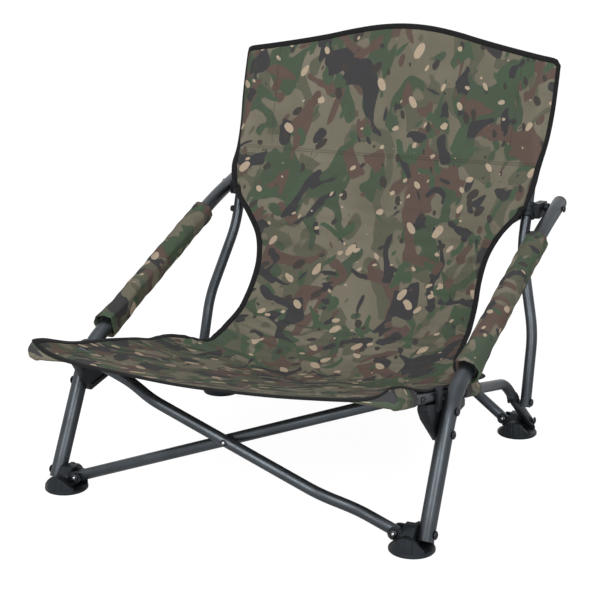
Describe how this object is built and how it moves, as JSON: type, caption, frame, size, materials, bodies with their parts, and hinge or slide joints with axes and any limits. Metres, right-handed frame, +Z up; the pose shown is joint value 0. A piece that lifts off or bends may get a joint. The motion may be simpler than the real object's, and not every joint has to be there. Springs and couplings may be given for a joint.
{
  "type": "low folding fishing chair",
  "caption": "Low folding fishing chair: camouflage cloth sling on a bent tube frame with crossed braces, padded arms and four round swivelling feet.",
  "frame": {"origin": "on the floor under the middle of the open chair", "axes": "+Z up, the sitter faces -Y, +X is the right side seen from the front"},
  "size_m": [0.6842, 0.8463, 0.6983],
  "materials": {
    "tube": "dark grey satin powder coat",
    "moulding": "black fine-grained moulding",
    "steel": "blackened steel",
    "camo_cloth": "woven polyester, printed camouflage, black binding"
  },
  "bodies": {
    "foot_front_right": {"front_foot_right": "moulding", "front_foot_pin_right": "steel"},
    "foot_front_left": {"front_foot_left": "moulding", "front_foot_pin_left": "steel"},
    "front_x_stepped": {"front_brace_stepped": "tube", "front_rivet": "steel", "front_spacer": "moulding"},
    "front_x_straight": {"front_brace_straight": "tube"},
    "rear_x_stepped": {"rear_brace_stepped": "tube", "rear_rivet": "steel", "rear_brace_pin_left": "steel"},
    "rear_x_straight": {"rear_brace_straight": "tube", "rear_brace_pin_right": "steel"},
    "knuckle_body_right": {"knuckle_right": "moulding", "knuckle_pin_right": "steel"},
    "rail_body_right": {"seat_rail_right": "tube", "rear_leg_right": "tube", "joint_collar_right": "moulding", "knuckle_screw_right": "steel", "rear_leg_bolt_right": "steel", "seat_cloth": "camo_cloth"},
    "leg_body_right": {"leg_tube_right": "tube", "leg_bolt_right": "steel", "gusset_bolt_1_right": "steel", "gusset_bolt_2_right": "steel", "gusset_right": "moulding", "arm_pin_right": "steel", "arm_plug_right": "moulding", "arm_pad_right": "camo_cloth"},
    "upright_body_right": {"upright_right": "tube", "upright_bolt_right": "steel", "stop_knob_right": "moulding", "back_cloth": "camo_cloth"},
    "slider_body_right": {"slider_right": "moulding"},
    "foot_rear_right": {"rear_foot_right": "moulding", "rear_foot_pin_right": "steel"},
    "knuckle_body_left": {"knuckle_left": "moulding", "knuckle_pin_left": "steel"},
    "rail_body_left": {"seat_rail_left": "tube", "rear_leg_left": "tube", "joint_collar_left": "moulding", "knuckle_screw_left": "steel", "rear_leg_bolt_left": "steel"},
    "leg_body_left": {"leg_tube_left": "tube", "leg_bolt_left": "steel", "gusset_bolt_1_left": "steel", "gusset_bolt_2_left": "steel", "gusset_left": "moulding", "arm_pin_left": "steel", "arm_plug_left": "moulding", "arm_pad_left": "camo_cloth"},
    "upright_body_left": {"upright_left": "tube", "upright_bolt_left": "steel", "stop_knob_left": "moulding"},
    "slider_body_left": {"slider_left": "moulding"},
    "foot_rear_left": {"rear_foot_left": "moulding", "rear_foot_pin_left": "steel"}
  },
  "joints": [
    {"name": "fold", "type": "hinge", "parent": "foot_front_right", "child": "front_x_stepped", "pos_m": [0.2727, -0.334, 0.025], "axis": [0, 0.996, -0.0892], "range_deg": [0, 52], "deforming": ["seat_cloth", "back_cloth"]},
    {"name": "front_cross", "type": "hinge", "parent": "front_x_stepped", "child": "front_x_straight", "pos_m": [0, -0.325, 0.1255], "axis": [0, 0.996, -0.0892], "range_deg": [-104.5, 0]},
    {"name": "front_foot_left_turn", "type": "hinge", "parent": "front_x_straight", "child": "foot_front_left", "pos_m": [-0.2727, -0.334, 0.025], "axis": [0, 0.996, -0.0892], "range_deg": [0, 52.5]},
    {"name": "knuckle_right_turn", "type": "hinge", "parent": "front_x_straight", "child": "knuckle_body_right", "pos_m": [0.2727, -0.316, 0.226], "axis": [0, 0.996, -0.0892], "range_deg": [0, 52.5]},
    {"name": "knuckle_left_turn", "type": "hinge", "parent": "front_x_stepped", "child": "knuckle_body_left", "pos_m": [-0.2727, -0.316, 0.226], "axis": [0, 0.996, -0.0892], "range_deg": [-52.5, 0]},
    {"name": "rail_right_lift", "type": "hinge", "parent": "knuckle_body_right", "child": "rail_body_right", "pos_m": [0.294, -0.316, 0.226], "axis": [1, 0, 0], "range_deg": [-52.5, 0]},
    {"name": "rear_foot_right_turn", "type": "hinge", "parent": "rail_body_right", "child": "foot_rear_right", "pos_m": [0.3137, 0.2272, 0.025], "axis": [1, 0, 0], "range_deg": [0, 49.58]},
    {"name": "leg_right_swing", "type": "hinge", "parent": "foot_front_right", "child": "leg_body_right", "pos_m": [0.3157, -0.325, 0.025], "axis": [1, 0, 0], "range_deg": [0, 26.99]},
    {"name": "upright_right_turn", "type": "hinge", "parent": "rail_body_right", "child": "upright_body_right", "pos_m": [0.3206, 0.18131, 0.07354], "axis": [1, 0, 0], "range_deg": [0, 55.86]},
    {"name": "slider_right_run", "type": "slide", "parent": "upright_body_right", "child": "slider_body_right", "axis": [0, 0.3254, 0.9456], "range_m": [0, 0.2345]},
    {"name": "rail_left_lift", "type": "hinge", "parent": "knuckle_body_left", "child": "rail_body_left", "pos_m": [-0.294, -0.316, 0.226], "axis": [1, 0, 0], "range_deg": [-52.5, 0]},
    {"name": "rear_foot_left_turn", "type": "hinge", "parent": "rail_body_left", "child": "foot_rear_left", "pos_m": [-0.3137, 0.2272, 0.025], "axis": [1, 0, 0], "range_deg": [0, 49.58]},
    {"name": "leg_left_swing", "type": "hinge", "parent": "foot_front_left", "child": "leg_body_left", "pos_m": [-0.3157, -0.325, 0.025], "axis": [1, 0, 0], "range_deg": [0, 26.99]},
    {"name": "upright_left_turn", "type": "hinge", "parent": "rail_body_left", "child": "upright_body_left", "pos_m": [-0.3206, 0.18131, 0.07354], "axis": [1, 0, 0], "range_deg": [0, 55.86]},
    {"name": "slider_left_run", "type": "slide", "parent": "upright_body_left", "child": "slider_body_left", "axis": [0, 0.3254, 0.9456], "range_m": [0, 0.2345]},
    {"name": "rear_x_stepped_swing", "type": "hinge", "parent": "foot_rear_right", "child": "rear_x_stepped", "pos_m": [0.2727, 0.218, 0.025], "axis": [0, 0.9667, -0.2559], "range_deg": [0, 40.32]},
    {"name": "rear_x_straight_swing", "type": "hinge", "parent": "foot_rear_left", "child": "rear_x_straight", "pos_m": [-0.2727, 0.218, 0.025], "axis": [0, 0.9667, -0.2559], "range_deg": [-40.32, 0]}
  ],
  "couplings": [
    {"joint": "front_cross", "follows": "fold", "ratio": -2},
    {"joint": "front_foot_left_turn", "follows": "fold", "ratio": 1},
    {"joint": "knuckle_right_turn", "follows": "fold", "ratio": 1},
    {"joint": "knuckle_left_turn", "follows": "fold", "ratio": -1},
    {"joint": "rail_right_lift", "follows": "fold", "ratio": -1},
    {"joint": "rear_foot_right_turn", "follows": "fold", "ratio": 0.94385},
    {"joint": "leg_right_swing", "follows": "fold", "ratio": 0.50942},
    {"joint": "upright_right_turn", "follows": "fold", "ratio": 1.0646},
    {"joint": "slider_right_run", "follows": "fold", "m_per_rad": 0.25618},
    {"joint": "rail_left_lift", "follows": "fold", "ratio": -1},
    {"joint": "rear_foot_left_turn", "follows": "fold", "ratio": 0.94385},
    {"joint": "leg_left_swing", "follows": "fold", "ratio": 0.50942},
    {"joint": "upright_left_turn", "follows": "fold", "ratio": 1.0646},
    {"joint": "slider_left_run", "follows": "fold", "m_per_rad": 0.25618},
    {"joint": "rear_x_stepped_swing", "follows": "fold", "ratio": 0.76577},
    {"joint": "rear_x_straight_swing", "follows": "fold", "ratio": -0.76577}
  ]
}
